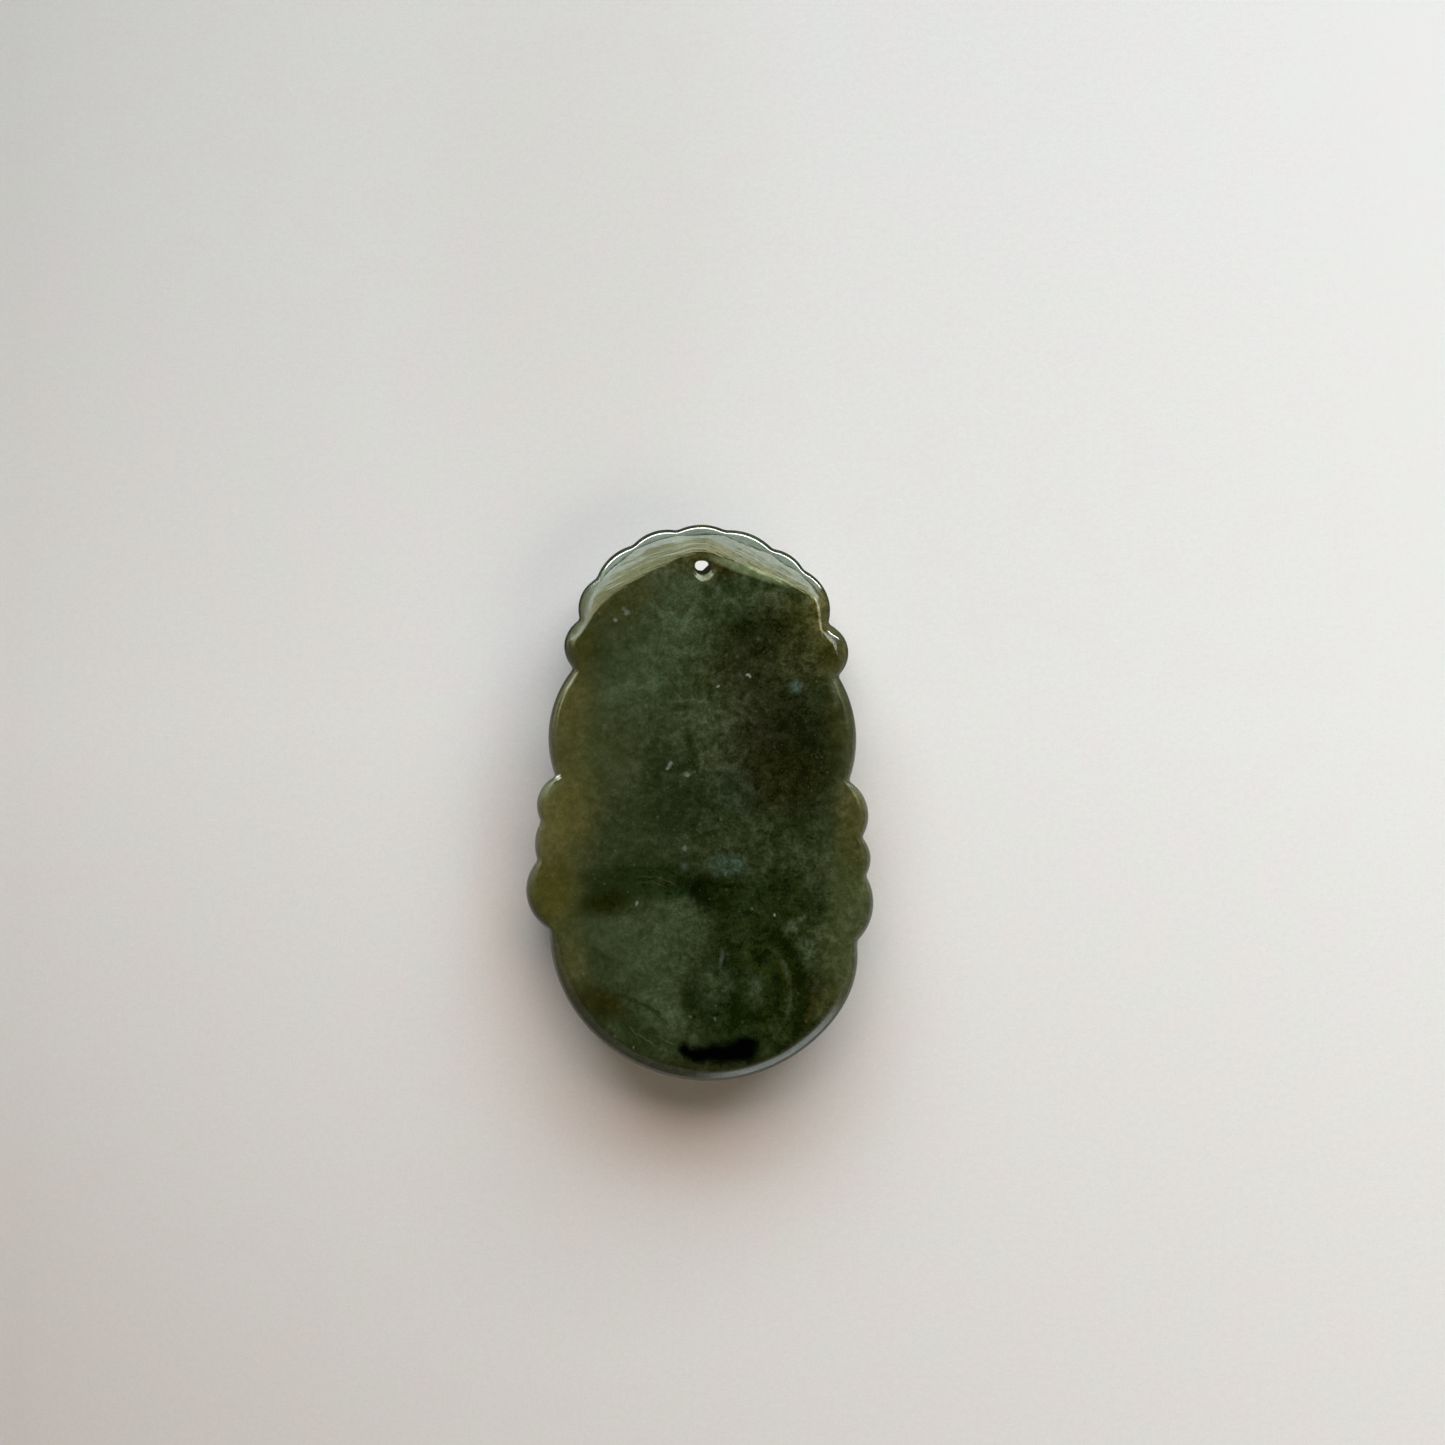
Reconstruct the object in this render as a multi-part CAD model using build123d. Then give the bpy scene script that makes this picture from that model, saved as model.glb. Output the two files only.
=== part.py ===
"""A carved jade zodiac pendant: one flat stone with a lobed outline, drilled near its top for a cord.

The stone lies on its carved front, so +Z leaves the plain polished back, +Y points to the drilled end
and the floor is z = 0. The carving stands down from the ground of the front to the floor: a ring with
twelve bosses for the twelve signs, rays above it, a lotus below it and a dome on each lobe of the sides.
Lengths are millimetres and angles are degrees.
"""

from build123d import *
import math
import os

# Size of the stone
LENGTH = 58.0
WIDTH = 36.2
THICKNESS = 7.4
CARVING_HEIGHT = 1.5
CARVING_ROOT = 0.6  # how deep each carved piece reaches into the stone

# Rounding of the edge: how far it reaches in over each face, and how deep it goes
BACK_EDGE_REACH = 1.15
BACK_EDGE_DEPTH = 1.5
FRONT_EDGE_REACH = 2.3
FRONT_EDGE_DEPTH = 2.0
NOTCH_FADE = 0.35  # share of the reach that a notch gives up, so that notches fade inwards

# Bevel round the crown of the back: its width at the top, and how steeply it falls
CROWN_WIDTH = 2.75
CROWN_SLOPE = 24.0

# Drilled hole for the cord, which leans to the crown on its way down, and its countersunk mouths
HOLE_RADIUS = 0.8
HOLE_X = 0.3
HOLE_FROM_TOP = 4.5
HOLE_LEAN = 8.0
MOUTH_RADIUS = 1.15
MOUTH_DEPTH = 0.35
MOUTH_SHIFT = 0.25

# Ring of the twelve signs, with a hub in its middle
RING_FROM_TOP = 11.6
RING_FROM_SIDE = 6.1
RING_HALF_WIDTH = 1.5
SIGN_COUNT = 12
SIGN_FROM_RING = 0.75
SIGN_RADIUS = 1.35
SIGN_HEIGHT = 1.1
HUB_FROM_SIGNS = 1.25
HUB_HEIGHT = 1.3

# Rays under the scallops of the crown, and a bead under the hole
RAY_FROM_RING = 1.0
RAY_FROM_EDGE = 2.4
RAY_HALF_WIDTH = 1.05
RAY_HEIGHT = 1.0
BEAD_FROM_RING = 1.0
BEAD_RADIUS = 1.2
BEAD_HEIGHT = 1.0

# Domes on the lobes of the sides
DOME_FROM_EDGE = 3.9
DOME_HEIGHT = 1.0

# Lotus between the foot and the ring
LOTUS_FROM_FOOT = 3.4
LOTUS_FROM_RING = 1.2
PETAL_HALF_WIDTH = 2.5

# Grooves that run in from the notches over the front and rise out of it
GROOVE_RADIUS = 0.6
GROOVE_LENGTH = 3.6
GROOVE_DEPTH = 1.1

# Lobes of the outline, clockwise as the back is seen, from the left foot over the crown to the right
# foot. start_x, start_y: the notch where the lobe begins, as shares of the half width and half length.
# bulge: how far the lobe stands out from its chord. front: what its front carries. dome: the radius
# of that dome. bulge and dome are shares of the half width.
LOBES = (
    # name, start_x, start_y, bulge, front, dome
    ("left_knee", -0.867, -0.454, 0.098, "dome", 0.100),
    ("left_cuff", -0.936, -0.208, 0.025, "dome", 0.066),
    ("left_sleeve", -0.919, -0.075, 0.064, "dome", 0.083),
    ("left_shoulder", -0.827, 0.088, 0.085, "plain", 0.0),
    ("left_ear", -0.746, 0.484, 0.064, "dome", 0.083),
    ("left_low_scallop", -0.699, 0.657, 0.055, "ray", 0.0),
    ("left_mid_scallop", -0.581, 0.819, 0.040, "ray", 0.0),
    ("left_top_scallop", -0.396, 0.917, 0.045, "ray", 0.0),
    ("crown_scallop", -0.133, 0.979, 0.033, "plain", 0.0),
    ("right_top_scallop", 0.139, 0.980, 0.042, "ray", 0.0),
    ("right_mid_scallop", 0.422, 0.910, 0.029, "ray", 0.0),
    ("right_low_scallop", 0.607, 0.834, 0.052, "ray", 0.0),
    ("right_ear", 0.749, 0.654, 0.072, "dome", 0.083),
    ("right_shoulder", 0.809, 0.455, 0.063, "plain", 0.0),
    ("right_sleeve", 0.873, 0.077, 0.065, "dome", 0.083),
    ("right_cuff", 0.948, -0.125, 0.032, "dome", 0.066),
    ("right_knee", 0.960, -0.262, 0.064, "dome", 0.100),
)
LEFT_EAR_NOTCH = (-0.746, 0.484)  # where the bevel of the crown ends on the left
RIGHT_EAR_NOTCH = (0.809, 0.455)  # and on the right
FOOT_NOTCH = (0.906, -0.497)  # where the last lobe ends
FOOT_SIDE = (0.908, -0.551)  # where the round of the foot begins, on the right
FOOT_LOW = (0.058, -1.0)  # lowest point of the foot
SPINE = (0.35, -0.45)  # the edge is drawn in towards the middle line between these two heights

# Petals of the lotus: how far each leans from upright, and its length as a share of the longest
PETALS = (
    # lean, length
    (0.0, 1.00),
    (27.0, 0.94),
    (-27.0, 0.94),
    (52.0, 0.76),
    (-52.0, 0.76),
    (76.0, 0.55),
    (-76.0, 0.55),
)


def at(shares):
    """The point that is given as shares of the half width and half length."""
    return Vector(shares[0] * WIDTH / 2, shares[1] * LENGTH / 2)


def drawn_in(point, distance):
    """The point moved towards the spine of the stone."""
    spine_y = min(max(point.Y, SPINE[1] * LENGTH / 2), SPINE[0] * LENGTH / 2)
    inward = Vector(0, spine_y) - point
    return point + inward.normalized() * distance


def lobe_points():
    """The first notch, crest and last notch of each lobe."""
    points = []
    for index, (_, x, y, bulge, _, _) in enumerate(LOBES):
        start = at((x, y))
        end = at(LOBES[index + 1][1:3] if index + 1 < len(LOBES) else FOOT_NOTCH)
        along = (end - start).normalized()
        outward = Vector(-along.Y, along.X)
        crest = (start + end) * 0.5 + outward * (bulge * WIDTH / 2)
        points.append((start, crest, end))
    return points


def section(height, reach):
    """The outline drawn in by a reach, as a flat face at a height."""
    notch_reach = reach * (1 - NOTCH_FADE)
    edges = []
    for start, crest, end in lobe_points():
        first = drawn_in(start, notch_reach)
        last = drawn_in(end, notch_reach)
        edges.append(ThreePointArc(first, drawn_in(crest, reach), last))
    right = drawn_in(at(FOOT_NOTCH), notch_reach)
    side = drawn_in(at(FOOT_SIDE), reach)
    low = at(FOOT_LOW) + Vector(0, reach)
    left = drawn_in(at(LOBES[0][1:3]), notch_reach)
    edges.append(Line(right, side))
    edges.append(EllipticalCenterArc((low.X, side.Y), side.X - low.X, side.Y - low.Y, 270, arc_size=90))
    edges.append(EllipticalCenterArc((low.X, left.Y), low.X - left.X, left.Y - low.Y, 180, arc_size=90))
    return Pos(0, 0, height) * make_face(Curve() + edges)


def slab():
    """The uncarved stone: a lobed plate with a rounded edge."""
    leans = [math.radians(a) for a in (0, 30, 60, 90)]
    low = CARVING_HEIGHT + FRONT_EDGE_DEPTH
    high = THICKNESS - BACK_EDGE_DEPTH
    front = [
        section(low - FRONT_EDGE_DEPTH * math.sin(a), FRONT_EDGE_REACH * (1 - math.cos(a)))
        for a in reversed(leans)
    ]
    back = [
        section(high + BACK_EDGE_DEPTH * math.sin(a), BACK_EDGE_REACH * (1 - math.cos(a)))
        for a in leans
    ]
    return loft(front + back, ruled=True)


def crown_waste():
    """What the bevel takes off the back round the crown: all that lies outside a wide cone."""
    top = Vector(0, LENGTH / 2 - CROWN_WIDTH)
    border = ThreePointArc(at(LEFT_EAR_NOTCH), top, at(RIGHT_EAR_NOTCH))
    fall = WIDTH * math.tan(math.radians(CROWN_SLOPE))
    cone = Cone(border.radius + WIDTH, border.radius, fall, align=(Align.CENTER, Align.CENTER, Align.MAX))
    centre = border.arc_center
    end = (LEFT_EAR_NOTCH[1] + RIGHT_EAR_NOTCH[1]) / 2
    block = Pos(0, end * LENGTH / 2, THICKNESS) * Box(
        WIDTH * 2, LENGTH, BACK_EDGE_DEPTH, align=(Align.CENTER, Align.MIN, Align.MAX)
    )
    return block - Pos(centre.X, centre.Y, THICKNESS) * cone


def dome(centre, radius, height):
    """A low dome on the front, of that radius and height where it leaves the ground."""
    ball = (radius**2 + height**2) / (2 * height)
    return Pos(centre.X, centre.Y, CARVING_HEIGHT - height + ball) * Sphere(ball)


def ridge(start, end, half_width, height):
    """A ridge on the front that narrows to a point at each end."""
    along = end - start
    length = along.length
    bow = (half_width**2 + height**2) / (2 * height)
    edges = [ThreePointArc((0, 0), (bow, length / 2), (0, length)), Line((0, length), (0, 0))]
    turn = math.degrees(math.atan2(-along.X, along.Y))
    place = Pos(start.X, start.Y, CARVING_HEIGHT - height + bow) * Rot(0, 0, turn)
    return place * revolve(make_face(Curve() + edges), Axis.Y, 360)


def carving():
    """All that stands on the front, each piece sunk a little into the stone."""
    ring_edge = WIDTH / 2 - RING_FROM_SIDE
    ring_radius = ring_edge - RING_HALF_WIDTH
    centre = Vector(0, LENGTH / 2 - RING_FROM_TOP - ring_edge)
    pieces = [Pos(centre.X, centre.Y, CARVING_HEIGHT) * Torus(ring_radius, RING_HALF_WIDTH)]
    sign_circle = ring_radius - RING_HALF_WIDTH - SIGN_FROM_RING - SIGN_RADIUS
    for index in range(SIGN_COUNT):
        spoke = Vector(0, sign_circle).rotate(Axis.Z, 360 * index / SIGN_COUNT)
        pieces.append(dome(centre + spoke, SIGN_RADIUS, SIGN_HEIGHT))
    pieces.append(dome(centre, sign_circle - SIGN_RADIUS - HUB_FROM_SIGNS, HUB_HEIGHT))
    bead = centre + Vector(0, ring_edge + BEAD_FROM_RING + BEAD_RADIUS)
    pieces.append(dome(bead, BEAD_RADIUS, BEAD_HEIGHT))
    for (_, _, _, _, carried, size), (_, crest, _) in zip(LOBES, lobe_points()):
        if carried == "dome":
            pieces.append(dome(drawn_in(crest, DOME_FROM_EDGE), size * WIDTH / 2, DOME_HEIGHT))
        if carried == "ray":
            outward = (crest - centre).normalized()
            start = centre + outward * (ring_edge + RAY_FROM_RING)
            pieces.append(ridge(start, crest - outward * RAY_FROM_EDGE, RAY_HALF_WIDTH, RAY_HEIGHT))
    root = Vector(0, -LENGTH / 2 + LOTUS_FROM_FOOT)
    longest = centre.Y - ring_edge - LOTUS_FROM_RING - root.Y
    for lean, length in PETALS:
        tip = root + Vector(0, length * longest).rotate(Axis.Z, lean)
        pieces.append(ridge(root, tip, PETAL_HALF_WIDTH, CARVING_HEIGHT))
    depth = CARVING_HEIGHT + CARVING_ROOT
    keep = Box(WIDTH * 2, LENGTH * 2, depth, align=(Align.CENTER, Align.CENTER, Align.MIN))
    return [piece & keep for piece in pieces]


def grooves():
    """What is cut out of the front at the notches: leaning rods that leave the ground as they run in."""
    cuts = []
    for notch in [start for start, _, _ in lobe_points()] + [at(FOOT_NOTCH)]:
        inner = drawn_in(notch, GROOVE_LENGTH)
        run = notch - inner + Vector(0, 0, GROOVE_DEPTH)
        plane = Plane((inner.X, inner.Y, CARVING_HEIGHT), x_dir=inner.cross(Vector(0, 0, 1)), z_dir=run)
        rod = Cylinder(GROOVE_RADIUS, 2 * run.length, align=(Align.CENTER, Align.MIN, Align.MIN))
        cuts.append(plane * rod)
    return cuts


def drill():
    """The leaning hole and the countersinks at its two mouths."""
    lean = math.radians(HOLE_LEAN)
    mouth = (HOLE_X, LENGTH / 2 - HOLE_FROM_TOP, THICKNESS)
    axis = Plane(mouth, x_dir=(1, 0, 0), z_dir=(0, -math.sin(lean), math.cos(lean)))
    wall = (THICKNESS - CARVING_HEIGHT) / math.cos(lean)
    sink = Cone(HOLE_RADIUS, 2 * MOUTH_RADIUS - HOLE_RADIUS, 2 * MOUTH_DEPTH)
    back_mouth = Pos(0, -MOUTH_SHIFT, 0) * sink
    front_mouth = Pos(0, 0, -wall) * Rot(180, 0, 0) * sink
    return [axis * Cylinder(HOLE_RADIUS, THICKNESS * 3), axis * back_mouth, axis * front_mouth]


def pendant():
    stone = slab() - crown_waste()
    stone = stone + carving()
    return stone - grooves() - drill()


stone = pendant()
print(stone.volume, stone.is_valid, stone.bounding_box(), len(stone.solids()), len(stone.faces()))

os.makedirs("parts", exist_ok=True)
export_step(stone, "parts/jade_pendant.step")
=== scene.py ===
"""A carved jade pendant that lies on its carved front on pale paper, seen from straight above.

One mesh stands for the stone. Rings of vertices run in from its lobed outline to a spine in its middle,
over the polished back and over the carved front, and the cord hole is drilled through them.
"""
import bpy
import bmesh
import math
from mathutils import Matrix, Vector, kdtree, noise


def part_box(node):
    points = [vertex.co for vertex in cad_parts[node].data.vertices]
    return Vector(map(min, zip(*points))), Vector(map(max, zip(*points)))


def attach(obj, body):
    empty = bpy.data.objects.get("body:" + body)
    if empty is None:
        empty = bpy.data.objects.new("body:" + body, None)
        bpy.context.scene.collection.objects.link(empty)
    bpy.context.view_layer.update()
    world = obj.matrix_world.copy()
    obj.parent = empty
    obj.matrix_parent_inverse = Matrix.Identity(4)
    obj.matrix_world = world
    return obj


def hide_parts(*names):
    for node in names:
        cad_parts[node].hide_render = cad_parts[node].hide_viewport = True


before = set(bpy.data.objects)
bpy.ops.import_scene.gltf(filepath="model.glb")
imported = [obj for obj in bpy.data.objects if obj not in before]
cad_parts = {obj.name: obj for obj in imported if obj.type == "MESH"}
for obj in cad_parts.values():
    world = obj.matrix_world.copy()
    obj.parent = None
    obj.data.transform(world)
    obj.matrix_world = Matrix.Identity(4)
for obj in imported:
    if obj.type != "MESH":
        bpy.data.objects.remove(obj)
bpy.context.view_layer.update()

MM = 0.001
LOW, HIGH = (Vector(corner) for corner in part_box("jade_pendant"))
HALF_WIDTH = (HIGH.x - LOW.x) / 2
HALF_LENGTH = (HIGH.y - LOW.y) / 2
THICKNESS = HIGH.z
CARVING = 1.5 * MM  # height of the carving, from the floor to the ground of the front

# Outline of the stone, clockwise as the back is seen, as shares of the half width and half length
LOBES = (
    # name, start_x, start_y, bulge, front, dome
    ("left_knee", -0.867, -0.454, 0.098, "dome", 0.100),
    ("left_cuff", -0.934, -0.208, 0.025, "dome", 0.066),
    ("left_sleeve", -0.915, -0.066, 0.059, "dome", 0.083),
    ("left_shoulder", -0.832, 0.094, 0.085, "plain", 0.0),
    ("left_ear", -0.728, 0.482, 0.071, "dome", 0.083),
    ("left_low_scallop", -0.689, 0.657, 0.048, "ray", 0.0),
    ("left_mid_scallop", -0.595, 0.806, 0.038, "ray", 0.0),
    ("left_top_scallop", -0.389, 0.926, 0.038, "ray", 0.0),
    ("crown_scallop", -0.133, 0.979, 0.033, "plain", 0.0),
    ("right_top_scallop", 0.144, 0.980, 0.035, "ray", 0.0),
    ("right_mid_scallop", 0.419, 0.913, 0.028, "ray", 0.0),
    ("right_low_scallop", 0.598, 0.836, 0.063, "ray", 0.0),
    ("right_ear", 0.739, 0.643, 0.086, "dome", 0.083),
    ("right_shoulder", 0.795, 0.455, 0.070, "plain", 0.0),
    ("right_sleeve", 0.858, 0.077, 0.070, "dome", 0.083),
    ("right_cuff", 0.933, -0.125, 0.038, "dome", 0.066),
    ("right_knee", 0.955, -0.262, 0.066, "dome", 0.100),
)
FOOT_NOTCH = (0.906, -0.497)
FOOT_SIDE = (0.908, -0.551)
FOOT_LOW = (0.058, -1.0)

# Rounding of the edge and bevel of the crown
FRONT_REACH = 2.3 * MM
FRONT_DEPTH = 2.0 * MM
BACK_REACH = 1.15 * MM
BACK_DEPTH = 1.25 * MM
BACK_DROP = 0.012 * MM  # how far the polished back lies under the full thickness, and the height of its waves
NOTCH_FADE = 0.35
EAR_TOP = Vector((14.3, 17.9)) * MM  # where the rounding of the right ear is deepest

# Facets of the bevel round the crown, each a straight border on the back that the stone falls away from
CROWN_FACETS = (
    # name, border_x, border_y, faces
    ("left_end", -11.6, 18.5, 144.0),
    ("left", -6.9, 22.7, 122.0),
    ("top_left", -2.6, 25.0, 112.0),
    ("top", -0.4, 25.82, 98.0),
    ("right", 6.6, 23.43, 67.0),
    ("right_end", 11.6, 21.1, 42.0),
    ("right_tip", 12.75, 19.0, 8.0),
)
FACET_SLOPE = math.tan(math.radians(16.0))
FACET_BOW = 0.025 / MM

# Stations of the mesh round the outline, and the stone's spine, where its rings close
SIDE_STATIONS = 88
CROWN_STATIONS = 200
FOOT_STATIONS = 170
BACK_ROUNDING_RINGS = 24
BACK_RINGS = 48
FRONT_ROUNDING_RINGS = 10
FRONT_RINGS = 80
SPINE_TOP = 0.35 * HALF_LENGTH
SPINE_FOOT = -0.45 * HALF_LENGTH


def at(shares):
    return Vector((shares[0] * HALF_WIDTH, shares[1] * HALF_LENGTH))


def towards(degrees):
    """The unit vector that points that many degrees against the clock from +X."""
    return Vector((math.cos(math.radians(degrees)), math.sin(math.radians(degrees))))


def clamped(value):
    return min(max(value, 0.0), 1.0)


def notch_points():
    """The notches between the lobes, clockwise, with the one at the foot."""
    return [at(lobe[1:3]) for lobe in LOBES] + [at(FOOT_NOTCH)]


def arc_points(start, end, bulge, step):
    """Points of an arc from start up to but without end, which bulges to the left of the chord."""
    along = end - start
    outward = Vector((-along.y, along.x)).normalized()
    half = along.length / 2
    radius = (half**2 + bulge**2) / (2 * bulge)
    centre = (start + end) / 2 + outward * (bulge - radius)
    half_angle = math.asin(half / radius)
    count = max(4, round(2 * half_angle * radius / step))
    points = []
    for index in range(count):
        angle = half_angle * (2 * index / count - 1)
        points.append(centre + (outward * math.cos(angle) + along.normalized() * math.sin(angle)) * radius)
    return points


def quarter_points(centre, half_x, half_y, first_angle, flat, step):
    """Points of a quarter of an ellipse, clockwise from an angle, flattened a little in its middle."""
    count = round((half_x + half_y) / 2 * math.pi / 2 / step)
    points = []
    for index in range(count):
        angle = math.radians(first_angle - 90 * index / count)
        pull = 1 - flat * math.sin(2 * angle) ** 2
        points.append(centre + Vector((half_x * math.cos(angle), half_y * math.sin(angle))) * pull)
    return points


def outline_points():
    """The whole outline as close points, clockwise, with its notches a little rounded."""
    step = 0.08 * MM
    notches = notch_points()
    points = []
    for lobe, start, end in zip(LOBES, notches, notches[1:]):
        points += arc_points(start, end, lobe[3] * HALF_WIDTH, step)
    side, low, left = at(FOOT_SIDE), at(FOOT_LOW), notches[0]
    points += [notches[-1].lerp(side, index / 20) for index in range(20)]
    points += quarter_points(Vector((low.x, side.y)), side.x - low.x, side.y - low.y, 0, 0.022, step)
    points += quarter_points(Vector((low.x, left.y)), low.x - left.x, left.y - low.y, -90, 0.0, step)
    for _ in range(14):
        points = [
            (points[index - 1] + points[index] * 2 + points[(index + 1) % len(points)]) / 4
            for index in range(len(points))
        ]
    return points


def resampled(points, count):
    """The run of points as count points, equally far apart, with the first and without the last."""
    reach = [0.0]
    for first, second in zip(points, points[1:]):
        reach.append(reach[-1] + (second - first).length)
    result = []
    behind = 0
    for index in range(count):
        wanted = reach[-1] * index / count
        while reach[behind + 1] < wanted:
            behind += 1
        share = (wanted - reach[behind]) / (reach[behind + 1] - reach[behind])
        result.append(points[behind].lerp(points[behind + 1], share))
    return result


def stations():
    """Each station's point on the outline, and the point of the spine that its rings run in to."""
    outline = outline_points()
    heights = [p.y for p in outline]
    left_top = next(i for i in range(len(outline)) if heights[i] > SPINE_TOP)
    right_top = next(i for i in range(left_top + 100, len(outline)) if heights[i] < SPINE_TOP)
    right_foot = next(i for i in range(right_top, len(outline)) if heights[i] < SPINE_FOOT)
    left_foot = next(i for i in range(len(outline)) if heights[i] > SPINE_FOOT)
    top, foot = Vector((0, SPINE_TOP)), Vector((0, SPINE_FOOT))
    sides = [foot.lerp(top, index / SIDE_STATIONS) for index in range(SIDE_STATIONS + 1)]
    runs = (
        (outline[left_foot : left_top + 1], SIDE_STATIONS, sides),
        (outline[left_top : right_top + 1], CROWN_STATIONS, [top] * CROWN_STATIONS),
        (outline[right_top : right_foot + 1], SIDE_STATIONS, sides[::-1]),
        (outline[right_foot:] + outline[: left_foot + 1], FOOT_STATIONS, [foot] * FOOT_STATIONS),
    )
    pairs = []
    for points, count, targets in runs:
        pairs += zip(resampled(points, count), targets)
    return pairs


def smooth_max(first, second, blend):
    """The larger of two heights, with a fillet where they meet."""
    overlap = max(blend - abs(first - second), 0.0) / blend
    return max(first, second) + overlap * overlap * blend / 4


def beyond_border(point):
    """How far a point lies beyond the border of the crown's bevel, and how far the bevel falls there."""
    far, fall = -1.0 * MM, -1.0 * MM
    for _, x, y, faces in CROWN_FACETS:
        beyond = max((point - Vector((x, y)) * MM).dot(towards(faces)), -1.0 * MM)
        facet = beyond * FACET_SLOPE + FACET_BOW * max(beyond, 0.0) ** 2
        far = max(far, beyond)
        fall = smooth_max(fall, facet, 0.2 * MM)
    return far, fall


def crown_fall(point):
    """How far the bevel of the crown lies below the back."""
    x, y = point.x / MM, point.y / MM
    border = 0.05 + 0.12 * max(0.0, 1 - ((x - 4.5) / 4.5) ** 2)
    ear = 17.75 if x > 0 else 17.3
    end = clamped((y - ear) / 1.1 + 0.5)
    return smooth_max(0.0, beyond_border(point)[1], border * MM) * end * end * (3 - 2 * end)


def dome_height(point, centre, radius, height):
    ball = (radius**2 + height**2) / (2 * height)
    square = ball**2 - (point - centre).length_squared
    return math.sqrt(square) - ball + height if square > 0 else 0.0


def ridge_height(point, start, end, half_width, height):
    """The height of a ridge that narrows to a point at each end."""
    length = (end - start).length
    along = (end - start) / length
    run = (point - start).dot(along)
    if not 0 < run < length:
        return 0.0
    bow = (half_width**2 + height**2) / (2 * height)
    arc = ((length / 2) ** 2 + bow**2) / (2 * bow)
    round_radius = math.sqrt(arc**2 - (run - length / 2) ** 2) - arc + bow
    square = round_radius**2 - (point - start).cross(along) ** 2
    return math.sqrt(square) - bow + height if square > 0 else 0.0


def inset(point, distance):
    """The point moved towards the spine."""
    spine_y = min(max(point.y, SPINE_FOOT), SPINE_TOP)
    return point + (Vector((0, spine_y)) - point).normalized() * distance


# Carving on the front, as the CAD has it
RING_EDGE = HALF_WIDTH - 6.1 * MM
RING_RADIUS = RING_EDGE - 1.5 * MM
RING_CENTRE = Vector((0, HALF_LENGTH - 11.6 * MM - RING_EDGE))
SIGN_CIRCLE = RING_RADIUS - 3.6 * MM
LOTUS_ROOT = Vector((0, -HALF_LENGTH + 3.4 * MM))
LOTUS_LENGTH = RING_CENTRE.y - RING_EDGE - 1.2 * MM - LOTUS_ROOT.y
PETALS = (
    # lean, length
    (0.0, 1.00),
    (27.0, 0.94),
    (-27.0, 0.94),
    (52.0, 0.76),
    (-52.0, 0.76),
    (76.0, 0.55),
    (-76.0, 0.55),
)


def turned(length, degrees):
    """A vector of that length, turned from +Y against the clock."""
    return towards(degrees + 90) * length


def carving_list():
    """Each dome and ridge of the front: its shape, its points and its sizes."""
    pieces = [("dome", RING_CENTRE, SIGN_CIRCLE - 2.6 * MM, 1.3 * MM)]
    for index in range(12):
        pieces.append(("dome", RING_CENTRE + turned(SIGN_CIRCLE, index * 30), 1.35 * MM, 1.1 * MM))
    pieces.append(("dome", RING_CENTRE + turned(RING_EDGE + 2.2 * MM, 0), 1.2 * MM, 1.0 * MM))
    notches = notch_points()
    for lobe, start, end in zip(LOBES, notches, notches[1:]):
        outward = Vector((-(end - start).y, (end - start).x)).normalized()
        crest = (start + end) / 2 + outward * lobe[3] * HALF_WIDTH
        if lobe[4] == "dome":
            pieces.append(("dome", inset(crest, 3.9 * MM), lobe[5] * HALF_WIDTH, 1.0 * MM))
        if lobe[4] == "ray":
            away = (crest - RING_CENTRE).normalized()
            first = RING_CENTRE + away * (RING_EDGE + 1.0 * MM)
            pieces.append(("ridge", first, crest - away * 2.4 * MM, 1.05 * MM, 1.0 * MM))
    for lean, length in PETALS:
        tip = LOTUS_ROOT + turned(length * LOTUS_LENGTH, lean)
        pieces.append(("ridge", LOTUS_ROOT, tip, 2.5 * MM, CARVING))
    return pieces


def carved(point, pieces):
    """How far the carving stands off the ground of the front."""
    rim = CARVING**2 - ((point - RING_CENTRE).length - RING_RADIUS) ** 2
    height = math.sqrt(rim) if rim > 0 else 0.0
    for shape, *sizes in pieces:
        piece = dome_height(point, *sizes) if shape == "dome" else ridge_height(point, *sizes)
        height = smooth_max(height, piece, 0.25 * MM) if piece > 0 else height
    return min(height, CARVING)


def groove(point, notches):
    """How deep the grooves that run in from the notches go."""
    depth = 0.0
    for notch in notches:
        inner = inset(notch, 3.6 * MM)
        away = notch - inner
        run = (point - inner).dot(away.normalized())
        aside = (point - inner).cross(away.normalized())
        square = (0.6 * MM) ** 2 - aside**2
        if square > 0 and run > 0:
            depth = max(depth, run / away.length * 1.1 * MM - 0.6 * MM + math.sqrt(square))
    return depth


def extruded(mesh, edges):
    """The vertices and the edges of a new ring, drawn out of those edges."""
    made = bmesh.ops.extrude_edge_only(mesh, edges=edges)["geom"]
    kinds = (bmesh.types.BMVert, bmesh.types.BMEdge)
    return [[part for part in made if isinstance(part, kind)] for kind in kinds]


def finished(mesh, name):
    data = bpy.data.meshes.new(name)
    mesh.to_mesh(data)
    mesh.free()
    return data


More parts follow.
